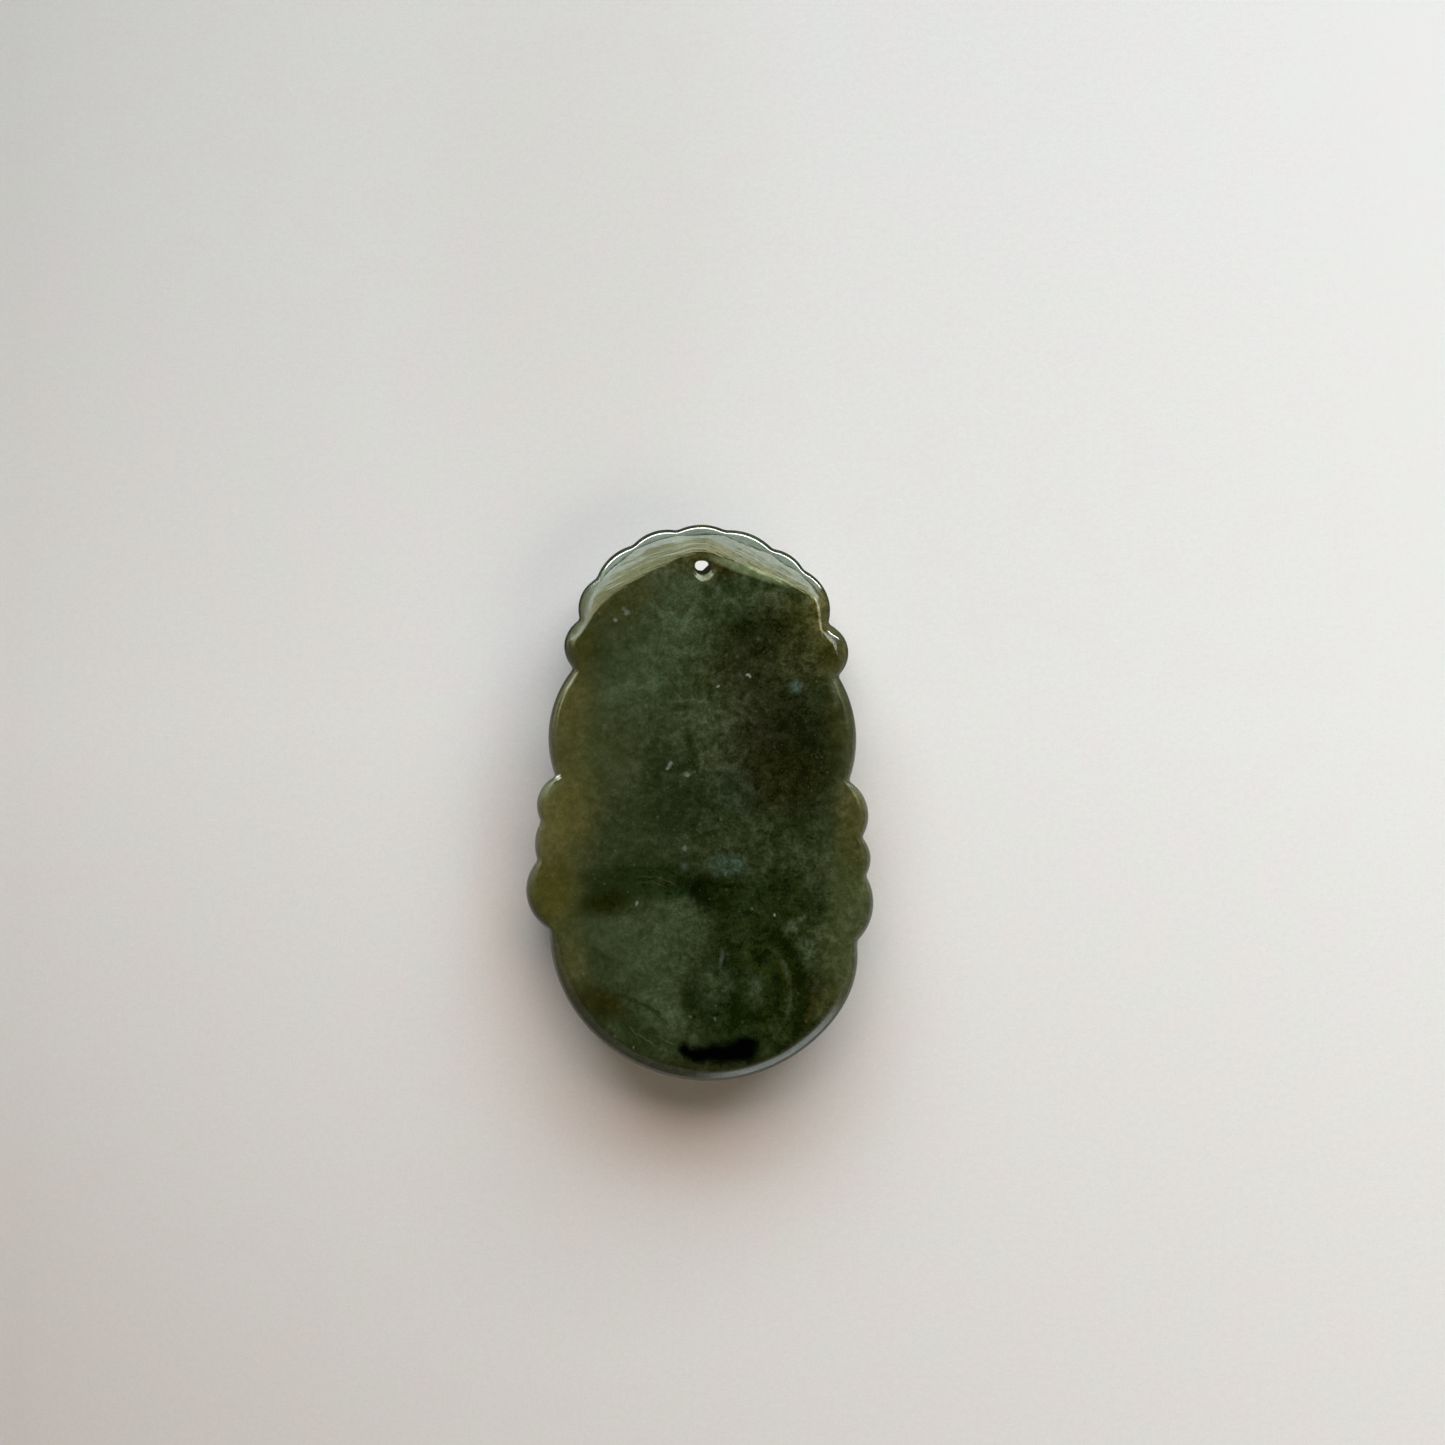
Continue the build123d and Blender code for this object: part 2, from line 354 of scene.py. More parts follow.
def stone_mesh():
    """The stone as rings that run in from its outline over the back and over the front."""
    pairs = stations()
    notches = notch_points()
    pieces = carving_list()
    mesh = bmesh.new()
    station = mesh.verts.layers.int.new("station")
    first = bmesh.ops.create_circle(mesh, segments=len(pairs), radius=HALF_WIDTH)["verts"]
    near_notch = []
    scallop = []
    for index, (vert, (point, _)) in enumerate(zip(first, pairs)):
        vert[station] = index
        gap = min((point - notch).length for notch in notches)
        near_notch.append(clamped(1 - gap / (1.6 * MM)))
        scallop.append(clamped(1 - gap / (3.2 * MM)) ** 2)
        vert.co = (*point, CARVING + FRONT_DEPTH)

    def ring(edges, place):
        """Extrude the edges into the next ring and put its vertices where place says."""
        verts, edges = extruded(mesh, edges)
        for vert in verts:
            vert.co = place(vert[station])
        return edges

    def drawn(index, reach, lean, share):
        """A place of a ring: on the rounding at a lean, then at a share of the way to the spine."""
        point, target = pairs[index]
        length = (target - point).length
        distance = reach * (1 - math.cos(lean)) if share is None else reach + (length - reach) * share
        return point + (target - point).normalized() * distance

    def back_rounding(index):
        """How far in and how deep the rounding of the back's edge goes at a station."""
        height = pairs[index][0].y / MM
        crown = clamped((height - 15) / 4)
        foot = clamped((-height - 12) / 8)
        ends = clamped((height - 12) / 3) * clamped((23.5 - height) / 3)
        wider = (0.4 * crown + 0.45 * ends + 0.75 * foot) * MM
        near = clamped(1 - (pairs[index][0] - EAR_TOP).length / (3.2 * MM))
        ear = near * near * (3 - 2 * near) * MM
        reach = (BACK_REACH + wider) * (1 - 0.42 * crown * scallop[index]) + 0.35 * ear
        return reach, BACK_DEPTH - 0.61 * crown * MM + 1.2 * ear

    def back_place(index, lean, share):
        """A place on the back, under the bevel of the crown and its own faint waves."""
        reach, deep = back_rounding(index)
        reach *= 1 - NOTCH_FADE * near_notch[index] * (0.3 if pairs[index][0].y > SPINE_TOP + 5 * MM else 1.0)
        flat = drawn(index, reach, lean, share)
        depth = deep * (1 - math.sin(lean)) if share is None else 0.0
        wave = noise.noise(Vector((flat.x, flat.y, 0.0)) / (7 * MM)) * BACK_DROP
        rise = 0.0 if share is None else min(1.0, share * 8)
        return (*flat, THICKNESS - BACK_DROP - crown_fall(flat) - depth + wave * rise)

    def front_place(index, lean, share):
        """A place on the front, with its carving and its grooves."""
        flat = drawn(index, FRONT_REACH * (1 - NOTCH_FADE * near_notch[index]), lean, share)
        up = FRONT_DEPTH * (1 - math.sin(lean)) if share is None else 0.0
        return (*flat, CARVING + up - carved(flat, pieces) + groove(flat, notches))

    rim = list(mesh.edges)
    edges = ring(rim, lambda i: back_place(i, 0, None))
    for step in range(1, BACK_ROUNDING_RINGS + 1):
        edges = ring(edges, lambda i: back_place(i, math.radians(90 * step / BACK_ROUNDING_RINGS), None))
    for step in range(1, BACK_RINGS + 1):
        edges = ring(edges, lambda i: back_place(i, 0, (step / BACK_RINGS) ** 1.6))
    edges = rim
    for step in range(1, FRONT_ROUNDING_RINGS + 1):
        edges = ring(edges, lambda i: front_place(i, math.radians(90 * step / FRONT_ROUNDING_RINGS), None))
    for step in range(1, FRONT_RINGS + 1):
        edges = ring(edges, lambda i: front_place(i, 0, step / FRONT_RINGS))
    bmesh.ops.remove_doubles(mesh, verts=mesh.verts, dist=0.002 * MM)
    bmesh.ops.recalc_face_normals(mesh, faces=mesh.faces)
    for face in mesh.faces:
        face.smooth = True
    return finished(mesh, "jade_stone")


# Cord hole: its mouth on the back, its lean, and the countersinks
HOLE_MOUTH = Vector((0.3 * MM, HALF_LENGTH - 4.5 * MM, THICKNESS))
HOLE_RADIUS = 0.8  # millimetres, as in the profile below
HOLE_LEAN = math.radians(8.0)
SLIP = Vector((0.42, -0.90, 0)) * MM  # which way the flare of its mouth is set off
DRILL_SIDES = 48
CHIPPING = 0.08  # how unevenly the rim of the mouth is chipped, as a share of its radius


def drill_mesh():
    """The drill that cuts the cord hole, with a flare for each mouth."""
    mesh = bmesh.new()
    wall = (THICKNESS - CARVING) / math.cos(HOLE_LEAN) / MM
    profile = (
        # radius, height, shift
        (1.38, 0.28, 0.25),
        (1.05, 0.03, 0.25),
        (0.90, -0.12, 0.0),
        (HOLE_RADIUS, -1.00, 0.0),
        (0.95, 0.9 - wall, 0.0),
        (1.20, -wall, 0.0),
        (1.60, -0.45 - wall, 0.0),
    )
    centres = [SLIP * shift + Vector((0, 0, height * MM)) for _, height, shift in profile]
    first = bmesh.ops.create_circle(mesh, segments=DRILL_SIDES, radius=MM, cap_ends=True)["verts"]
    for index, vert in enumerate(first):
        place = (*towards(360 * index / DRILL_SIDES) * 1.6, 0.0)
        vert.co = centres[0] + vert.co * profile[0][0] * (1 + CHIPPING * noise.noise(place))
    edges = list(mesh.edges)
    for (old_radius, _, _), (radius, _, _), old, centre in zip(profile, profile[1:], centres, centres[1:]):
        verts, edges = extruded(mesh, edges)
        for vert in verts:
            vert.co = centre + (vert.co - old) * (radius / old_radius)
    bmesh.ops.edgeloop_fill(mesh, edges=edges)
    bmesh.ops.recalc_face_normals(mesh, faces=mesh.faces)
    leant = Matrix.Translation(HOLE_MOUTH) @ Matrix.Rotation(HOLE_LEAN, 4, "X")
    bmesh.ops.transform(mesh, matrix=leant, verts=mesh.verts)
    return finished(mesh, "drill")


def placed(name, data):
    piece = bpy.data.objects.new(name, data)
    bpy.context.scene.collection.objects.link(piece)
    return piece


stone = placed("jade_stone", stone_mesh())
drill = placed("drill", drill_mesh())
cut = stone.modifiers.new("cord_hole", "BOOLEAN")
cut.object = drill
cut.solver = "EXACT"
drilled = bpy.data.meshes.new_from_object(stone.evaluated_get(bpy.context.evaluated_depsgraph_get()))
stone.modifiers.clear()
stone.data = drilled
bpy.data.objects.remove(drill)
drilled.set_sharp_from_angle(angle=math.radians(38))
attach(stone, "root")
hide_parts("jade_pendant")


# Colours of the stone, as the eye sees them in the photograph's light, 0 to 255
STONE_COLOURS = {
    "moss": (54, 61, 35),
    "mist": (66, 75, 50),
    "pale_mist": (80, 86, 62),
    "grass": (62, 76, 49),
    "olive": (60, 60, 26),
    "forest": (16, 36, 10),
    "pond": (29, 38, 13),
    "shade": (31, 34, 13),
    "deep": (15, 20, 3),
    "bark": (36, 35, 6),
    "tea": (25, 29, 2),
    "pine": (19, 29, 6),
    "earth": (37, 37, 20),
    "honey": (68, 66, 24),
    "pale_grass": (88, 100, 66),
    # Colour of a painted glow of light through the thin stone, not of the stone itself
    "painted_glow_green": (100, 109, 76),
    "olive_mist": (68, 74, 43),
    "slate": (38, 42, 36),
    "pale_honey": (86, 81, 41),
    "russet": (63, 54, 21),
    "fern": (30, 37, 6),
    "dark_olive": (44, 43, 9),
    # Painted highlights: glint and cream are the colours of glints and a reflection line laid on the stone, not
    # colours it has
    "glint": (216, 217, 206),
    "cream": (160, 157, 122),
    "chip_grey": (78, 84, 62),
    "blue_mist": (66, 82, 68),
    "ink": (1, 2, 1),
}
LIGHT_ON_STONE = 0.8  # how bright a white face would look where the stone lies
# Linear colours of the small marks in it
FLECK_COLOUR = (0.30, 0.33, 0.22, 1)
GRAIN_COLOUR = (0.115, 0.105, 0.055, 1)
SPECK_COLOUR = (0.32, 0.36, 0.28, 1)

# Clouds and shades in the stone, laid one over the other, in millimetres from its middle. The rows named glow
# are the stone's own honey tone at its left edge together with painted glow of light through the thin stone,
# and the rows marked below are painted highlights
CLOUDS = (
    # name, x, y, half_width, half_height, turn, softness, ragged, colour, strength
    ("left_upper_moss", -9.0, 8.0, 6.0, 12.0, 0, 0.7, 1.5, "moss", 0.45),
    ("left_glow", -14.0, 3.6, 2.6, 12.0, 0, 0.9, 0.8, "pale_honey", 0.5),
    ("left_lobes", -16.0, -1.6, 2.4, 4.6, 0, 0.7, 0.6, "pale_honey", 0.8),
    ("left_inner_glow", -12.6, 0.0, 2.2, 3.2, 0, 0.8, 0.8, "pale_honey", 0.5),
    ("left_olive", -9.2, 4.0, 3.2, 5.0, 0, 0.8, 1.0, "olive_mist", 0.5),
    ("left_knee", -15.6, -9.2, 2.6, 3.2, 0, 0.6, 0.6, "honey", 0.85),
    ("left_ear", -13.0, 16.2, 2.2, 2.6, 0, 0.6, 0.6, "olive", 0.75),
    ("left_ear_shade", -11.4, 14.4, 1.8, 1.8, 0, 0.9, 0.8, "pond", 0.28),
    ("left_shoulder", -8.8, 21.0, 4.6, 2.2, 28, 0.7, 0.8, "olive", 0.6),
    ("peak", 0.9, 25.2, 2.4, 1.5, -20, 0.7, 0.6, "bark", 0.75),
    ("peak_russet", 1.2, 25.1, 1.9, 1.4, -10, 0.6, 0.5, "russet", 0.85),
    ("peak_left_olive", -1.7, 25.0, 2.2, 0.9, 15, 0.7, 0.5, "olive", 0.85),
    ("peak_left", -3.4, 23.2, 1.6, 1.6, 20, 0.8, 0.8, "pale_mist", 0.5),
    ("top_mist", -1.4, 20.4, 2.8, 3.4, -10, 0.9, 1.0, "mist", 0.75),
    ("grass", -4.4, 15.4, 2.8, 4.8, -35, 0.8, 1.0, "grass", 0.75),
    ("lower_grass", -7.6, 11.4, 2.8, 2.6, -40, 0.9, 1.0, "mist", 0.35),
    ("top_right_grass", 4.8, 20.7, 3.8, 1.6, -15, 0.8, 0.7, "grass", 0.5),
    ("right_end", 10.6, 19.6, 2.6, 1.8, -35, 0.8, 0.8, "honey", 0.35),
    ("right_tip", 13.0, 19.9, 1.5, 2.6, 6, 0.7, 0.3, "pale_honey", 0.75),
    ("right_end_shade", 8.4, 19.3, 2.6, 1.5, -20, 0.8, 0.8, "dark_olive", 0.5),
    ("night_upper", 6.2, 17.2, 3.8, 2.7, -8, 0.6, 0.9, "deep", 0.76),
    ("night_notch", 4.4, 14.0, 3.4, 2.4, 10, 0.8, 0.9, "shade", 0.75),
    ("night_middle", 10.6, 6.0, 3.4, 6.8, 4, 0.8, 1.0, "deep", 0.85),
    ("night_grain", 10.6, 15.4, 3.2, 2.8, 0, 0.8, 1.0, "olive", 0.45),
    ("earth", 6.0, 7.0, 3.6, 5.2, 0, 0.8, 1.2, "earth", 0.85),
    ("low_earth", 7.6, 1.0, 3.4, 2.6, 0, 0.8, 1.2, "earth", 0.6),
    ("low_shade", 9.0, 2.8, 4.2, 2.0, 0, 0.8, 1.0, "dark_olive", 0.5),
    ("low_night", 9.2, 3.0, 3.4, 1.8, 0, 0.8, 1.0, "deep", 0.55),
    ("slate_wash", -1.8, 0.6, 5.0, 6.0, 0, 0.9, 1.0, "slate", 0.28),
    ("grey_cloud", 3.4, 1.2, 1.8, 2.2, 0, 0.9, 1.0, "blue_mist", 0.2),
    ("top_dark_edge", 6.4, 21.2, 2.4, 0.6, -25, 0.8, 0.8, "moss", 0.5),
    ("right_ear", 14.2, 15.8, 1.8, 2.8, 0, 0.7, 0.5, "honey", 0.55),
    ("right_ear_shade", 14.1, 16.3, 1.3, 1.7, 0, 0.8, 0.4, "dark_olive", 0.5),
    ("right_edge", 14.8, 8.6, 1.4, 7.6, 4, 0.8, 0.5, "olive", 0.5),
    ("right_edge_shade", 14.6, 9.2, 1.6, 2.6, 4, 0.8, 0.5, "dark_olive", 0.35),
    ("centre_cloud", 0.2, 8.6, 3.4, 2.0, 10, 0.9, 1.0, "mist", 0.35),
    ("centre_snow", 1.0, 4.4, 1.6, 1.3, -30, 0.7, 1.1, "pale_mist", 0.5),
    ("centre_dark", -1.0, 5.4, 0.45, 2.0, 10, 0.8, 0.5, "pond", 0.75),
    ("left_of_snow", -4.6, 3.4, 1.4, 1.6, 0, 0.9, 1.0, "pond", 0.35),
    ("streak_left", -8.2, 11.8, 1.7, 0.45, 32, 0.8, 0.5, "pale_mist", 0.35),
    ("streak_dark", -1.6, 9.9, 1.5, 0.35, -6, 0.8, 0.5, "pond", 0.35),
    ("middle_shade", -1.2, 0.4, 4.4, 2.8, 0, 0.9, 1.2, "pond", 0.65),
    ("lower_shade", 2.0, -3.4, 8.0, 2.6, 0, 0.8, 1.2, "pond", 0.3),
    ("lower_mist", -0.2, -4.3, 1.7, 1.2, 0, 0.9, 1.0, "mist", 0.3),
    ("lower_left_shade", -9.0, -1.2, 2.4, 2.2, 0, 0.9, 1.0, "pond", 0.25),
    ("lower_right_shade", 9.6, -4.0, 3.4, 1.8, 0, 0.9, 1.0, "pond", 0.25),
    ("right_sleeve", 16.4, -0.8, 2.2, 2.8, 0, 0.7, 0.8, "pale_honey", 0.5),
    ("right_cuff", 16.4, -5.2, 2.2, 3.4, 0, 0.7, 0.8, "honey", 0.5),
    ("right_knee", 15.6, -10.0, 2.3, 3.2, 0, 0.7, 0.8, "olive_mist", 0.95),
    ("arc_left", -6.6, -8.2, 5.4, 2.1, 3, 0.4, 0.6, "pond", 0.9),
    ("arc_middle", 1.3, -9.3, 3.4, 2.0, -14, 0.45, 0.6, "deep", 1.0),
    ("arc_right", 8.6, -9.8, 5.0, 2.7, -14, 0.5, 0.9, "pond", 0.85),
    ("arc_forest", -2.8, -9.2, 1.2, 0.7, 10, 0.8, 0.6, "forest", 0.7),
    ("arc_night", 2.7, -10.7, 1.0, 0.5, -25, 0.8, 0.5, "deep", 0.9),
    ("arc_end", 12.9, -11.4, 0.9, 1.1, 0, 0.8, 0.6, "pond", 0.8),
    ("amber", -9.9, -10.5, 2.6, 1.2, 0, 0.7, 0.5, "tea", 0.95),
    ("low_right", 6.4, -17.0, 7.0, 8.8, -6, 0.45, 1.0, "pond", 0.9),
    ("low_right_fern", 8.2, -18.4, 4.4, 7.2, -14, 0.7, 1.0, "fern", 0.65),
    ("cloud_left", -8.8, -13.6, 2.4, 1.5, 15, 0.8, 0.8, "mist", 0.4),
    ("rim_left", -13.4, -16.4, 1.5, 3.4, 14, 0.8, 0.6, "pale_honey", 0.35),
    ("cloud_upper", -2.5, -11.9, 2.7, 1.8, -20, 0.8, 0.9, "mist", 0.7),
    ("cloud_middle", -4.4, -16.8, 3.4, 3.4, 0, 0.9, 1.0, "mist", 0.52),
    ("cloud_low", -3.8, -21.6, 1.8, 2.6, 26, 0.6, 0.6, "mist", 0.7),
    ("cloud_edge", -4.4, -15.4, 4.6, 4.2, 0, 0.3, 0.8, "mist", 0.25),
    ("pool", 2.2, -20.0, 3.9, 4.0, 0, 0.3, 0.6, "pine", 0.55),
    ("pool_mist", 1.6, -18.8, 1.5, 1.8, 0, 0.9, 0.9, "mist", 0.55),
    ("pool_light", 5.6, -19.6, 1.2, 1.7, 0, 0.8, 0.8, "mist", 0.4),
    ("pool_night", 4.4, -22.3, 1.8, 1.3, 0, 0.8, 0.8, "pine", 0.9),
    ("pool_shade", -0.9, -20.8, 0.8, 1.4, 0, 0.8, 0.6, "pine", 0.6),
    ("pool_gap", 3.5, -20.6, 0.5, 1.5, -10, 0.8, 0.6, "pine", 0.6),
    ("pool_spot", 6.4, -16.1, 0.8, 0.8, 0, 0.8, 0.4, "deep", 0.8),
    ("pool_dot", 2.4, -12.8, 0.5, 0.45, 0, 0.8, 0.3, "deep", 0.6),
    ("right_clump", 9.8, -12.6, 1.2, 0.7, 20, 0.8, 0.9, "mist", 0.55),
    ("right_second_clump", 11.4, -15.4, 1.5, 1.3, 0, 0.8, 0.9, "mist", 0.6),
    ("chip", 0.6, 23.6, 1.2, 0.7, 20, 0.5, 0.3, "chip_grey", 0.9),
    ("bark_left", -10.2, -20.6, 2.6, 1.4, -20, 0.7, 0.7, "bark", 0.9),
    ("bark_right", 11.0, -21.6, 0.9, 2.6, -22, 0.7, 0.5, "bark", 0.9),
    ("right_dark", 9.0, -17.6, 1.4, 1.7, 0, 0.8, 0.8, "tea", 0.75),
    ("bark_spot", 12.0, -19.0, 0.8, 0.7, 0, 0.8, 0.5, "earth", 0.9),
    ("olive_right", 13.2, -20.4, 1.2, 1.6, -25, 0.8, 0.5, "olive", 0.5),
    ("mist_right", 14.4, -15.6, 1.7, 4.4, 4, 0.8, 0.8, "olive_mist", 0.88),
    ("foot_moss", -5.4, -24.4, 3.6, 1.6, -30, 0.8, 0.6, "pond", 0.5),
    ("foot_honey", 0.6, -27.6, 3.6, 0.9, 0, 0.8, 0.5, "bark", 0.5),
    ("foot_shade", 5.4, -27.0, 2.4, 0.8, 14, 0.8, 0.5, "tea", 0.35),
    ("blue_cloud", 3.1, -6.4, 1.4, 0.9, 0, 0.9, 0.6, "blue_mist", 0.9),
    ("blue_speck", 9.9, 12.0, 0.55, 0.55, 0, 0.8, 0.3, "blue_mist", 0.9),
    ("left_speck", -1.5, -6.5, 0.50, 0.35, 0, 0.9, 0.2, "blue_mist", 0.5),
    ("left_shoulder_glow", -13.4, 11.0, 2.0, 3.2, -8, 0.8, 0.6, "pale_honey", 0.35),
    # Painted reflection: a pale streak on the rounding of the right shoulder
    ("painted_shoulder_reflection", 14.0, 11.7, 0.35, 1.4, 10, 0.8, 0.2, "pale_mist", 0.7),
    ("hole_streak", 0.72, 23.98, 0.34, 0.08, 42, 0.7, 0.05, "pale_mist", 0.8),
    ("hole_second_streak", 0.45, 23.72, 0.22, 0.06, 35, 0.7, 0.05, "mist", 0.8),
    # Painted glints: two white strokes at the left notch between shoulder and sleeve
    ("notch_glint", -14.74, 2.72, 0.30, 0.10, 36, 0.5, 0.06, "glint", 0.95),
    ("notch_second_glint", -14.62, 2.50, 0.27, 0.09, 36, 0.5, 0.06, "glint", 0.95),
    # Painted highlight: a cream line at the right tip of the crown, along the border of its bevel
    ("painted_tip_highlight", 12.44, 19.1, 0.13, 1.5, 8.0, 0.6, 0.04, "cream", 0.8),
    ("sleeve_top", -16.0, 1.4, 1.6, 0.8, 30, 0.8, 0.3, "pale_grass", 0.45),
    ("crack", -0.7, -2.6, 0.25, 2.8, 0, 0.9, 0.2, "pond", 0.6),
)
# Thin arcs of light and shade
ARCS = (
    # name, x, y, radius, width, facing, spread, colour, strength
    ("arc_rim", -5.6, -14.6, 7.9, 0.22, 78, 34, "forest", 0.6),
    ("arc_line", -5.6, -14.6, 6.9, 0.12, 82, 24, "mist", 0.5),
    ("arc_second_line", -5.6, -14.6, 6.3, 0.12, 84, 20, "mist", 0.4),
    ("ripple_outer", 2.8, -20.0, 8.0, 1.0, 5, 76, "pine", 0.85),
    ("ripple_light", 2.8, -19.8, 6.6, 0.45, 5, 50, "mist", 0.40),
    ("ripple_inner", 2.8, -19.6, 5.3, 0.75, 12, 56, "pine", 0.80),
    ("cloud_border", -9.6, -28.4, 8.4, 0.40, 62, 26, "pond", 0.8),
    ("foot_line", 0.0, -16.0, 10.3, 0.14, 236, 17, "pale_mist", 0.5),
    ("foot_second_line", 0.4, -16.2, 9.4, 0.16, 244, 13, "pale_mist", 0.45),
    ("swirl", -1.0, 5.5, 5.2, 0.30, 88, 30, "pale_mist", 0.50),
    ("swirl_middle", -1.2, 3.4, 6.0, 0.28, 90, 22, "pale_mist", 0.45),
    ("swirl_inner", -0.8, 4.6, 4.0, 0.26, 80, 18, "pale_mist", 0.50),
    ("swirl_left", -5.6, 6.0, 4.0, 0.35, 85, 30, "mist", 0.4),
)
SPECKS = (
    # x, y, half_width, half_height, strength
    (-3.05, 4.15, 0.20, 0.20, 0.45),
    (-3.15, 3.85, 0.18, 0.20, 0.40),
    (-3.30, 3.55, 0.16, 0.14, 0.50),
    (-1.25, 2.95, 0.32, 0.24, 0.30),
    (-1.15, 2.80, 0.16, 0.14, 0.35),
    (-8.7, 19.0, 0.20, 0.18, 0.50),
    (-7.6, 19.8, 0.26, 0.24, 0.35),
    (-7.9, 20.1, 0.20, 0.18, 0.22),
    (5.05, 13.25, 0.20, 0.12, 0.85),
    (5.25, 13.1, 0.10, 0.16, 0.75),
    (1.95, 12.1, 0.16, 0.11, 0.80),
    (-1.5, -4.7, 0.22, 0.22, 0.35),
    (-6.5, -10.4, 0.14, 0.20, 0.50),
    (7.8, -11.6, 0.11, 0.15, 0.90),
    (5.4, -11.0, 0.16, 0.16, 0.25),
    (2.2, -16.1, 0.22, 0.80, 0.14),
    (-1.0, -22.2, 0.16, 0.14, 0.22),
    (1.6, -22.4, 0.12, 0.18, 0.25),
    (-0.7, -24.4, 0.40, 0.45, 0.12),
    (-6.9, -25.4, 0.10, 0.18, 0.30),
)
# Clouding that swings the colour lighter and darker, from coarse to fine
MOTTLES = (
    # size, detail, twist, crisp, depth
    (3.4, 3.0, 0.8, 0.25, 0.26),
    (1.5, 4.0, 0.9, 0.16, 0.40),
    (0.65, 3.0, 0.4, 0.20, 0.36),
    (0.22, 2.0, 0.0, 0.26, 0.40),
)
# The black vein at the foot
VEIN = (
    # x, y, half_width, half_height, turn
    (4.6, -25.6, 1.5, 1.15, 4),
    (3.2, -25.8, 1.8, 1.20, 0),
    (1.4, -26.1, 1.8, 0.95, 0),
    (-0.4, -26.2, 1.6, 0.85, -6),
    (-1.5, -25.6, 0.7, 0.50, -35),
    (5.2, -25.0, 0.9, 0.60, 0),
)


def seen(name):
    """A stone colour as the linear colour of a face that looks like it."""
    linear = []
    for channel in STONE_COLOURS[name]:
        share = channel / 255
        value = share / 12.92 if share <= 0.04045 else ((share + 0.055) / 1.055) ** 2.4
        linear.append(value / LIGHT_ON_STONE)
    return (*linear, 1.0)


def new_group(name, inputs, outputs):
    """An empty shader node group with its sockets."""
    tree = bpy.data.node_groups.new(name, "ShaderNodeTree")
    for in_out, sockets in (("INPUT", inputs), ("OUTPUT", outputs)):
        for label, kind in sockets:
            tree.interface.new_socket(name=label, in_out=in_out, socket_type="NodeSocket" + kind)
    return tree, tree.nodes.new("NodeGroupInput").outputs, tree.nodes.new("NodeGroupOutput").inputs


def put(tree, kind, links=(), **settings):
    """A new node with its settings, and its inputs linked or set by name or number."""
    node = tree.nodes.new("ShaderNode" + kind)
    for key, value in settings.items():
        setattr(node, key, value)
    for key, value in links:
        if isinstance(value, bpy.types.NodeSocket):
            tree.links.new(value, node.inputs[key])
        else:
            node.inputs[key].default_value = value
    return node


def calc(tree, operation, *values):
    """The result of one Math node."""
    return put(tree, "Math", enumerate(values), operation=operation).outputs[0]


def times(tree, first, *others):
    """All the values multiplied."""
    for other in others:
        first = calc(tree, "MULTIPLY", first, other)
    return first


def less(tree, first, second):
    return calc(tree, "SUBTRACT", first, second)


def plus(tree, first, second):
    return calc(tree, "ADD", first, second)


def vector_calc(tree, operation, *values):
    """The result of one Vector Math node."""
    return put(tree, "VectorMath", enumerate(values), operation=operation).outputs[0]


def measured(tree, operation, *vectors):
    """The number that one Vector Math node gives: a length, a distance or a dot product."""
    return put(tree, "VectorMath", enumerate(vectors), operation=operation).outputs["Value"]


def parts_of(tree, vector):
    """The X, Y and Z of a vector."""
    return put(tree, "SeparateXYZ", [(0, vector)]).outputs


def grained(tree, place, scale, detail, roughness=0.5, distortion=0.0):
    """A noise texture's value and colour."""
    links = [("Vector", place), ("Scale", scale), ("Detail", detail), ("Roughness", roughness)]
    return put(tree, "TexNoise", links + [("Distortion", distortion)]).outputs


def mixed(tree, factor, first, second):
    """Two colours mixed, with all of the second where the factor is 1."""
    return put(tree, "Mix", [("Factor", factor), (6, first), (7, second)], data_type="RGBA").outputs[2]


def scaled(tree, vector, factor):
    return put(tree, "VectorMath", [(0, vector), ("Scale", factor)], operation="SCALE").outputs[0]


def smooth_step(tree, value, low, high):
    """A value that goes softly from 0 at low to 1 at high."""
    ramp = put(
        tree, "MapRange", [("Value", value), ("From Min", low), ("From Max", high)],
        interpolation_type="SMOOTHSTEP",
    )
    return ramp.outputs["Result"]


def offset_in(tree, given):
    """The place less the centre, pushed about by the roughness."""
    pushed = scaled(tree, given["Rough"], given["Ragged"])
    moved = vector_calc(tree, "ADD", given["Place"], pushed)
    offset = vector_calc(tree, "SUBTRACT", moved, given["Centre"])
    return vector_calc(tree, "MULTIPLY", offset, (1, 1, 0))


def soft_patch_group():
    """A soft-edged oval with a ragged rim, in millimetres."""
    tree, given, result = new_group(
        "soft_patch",
        [("Place", "Vector"), ("Rough", "Vector"), ("Centre", "Vector"), ("Half Size", "Vector"),
         ("Turn", "Float"), ("Softness", "Float"), ("Ragged", "Float")],
        [("Mask", "Float")],
    )
    straight = put(
        tree, "VectorRotate",
        [("Vector", offset_in(tree, given)), ("Center", (0, 0, 0)), ("Angle", given["Turn"])],
        rotation_type="Z_AXIS", invert=True,
    )
    share = vector_calc(tree, "DIVIDE", straight.outputs[0], given["Half Size"])
    away = measured(tree, "LENGTH", share)
    inner = less(tree, 1.0, given["Softness"])
    outer = plus(tree, 1.0, given["Softness"])
    tree.links.new(smooth_step(tree, away, outer, inner), result["Mask"])
    return tree


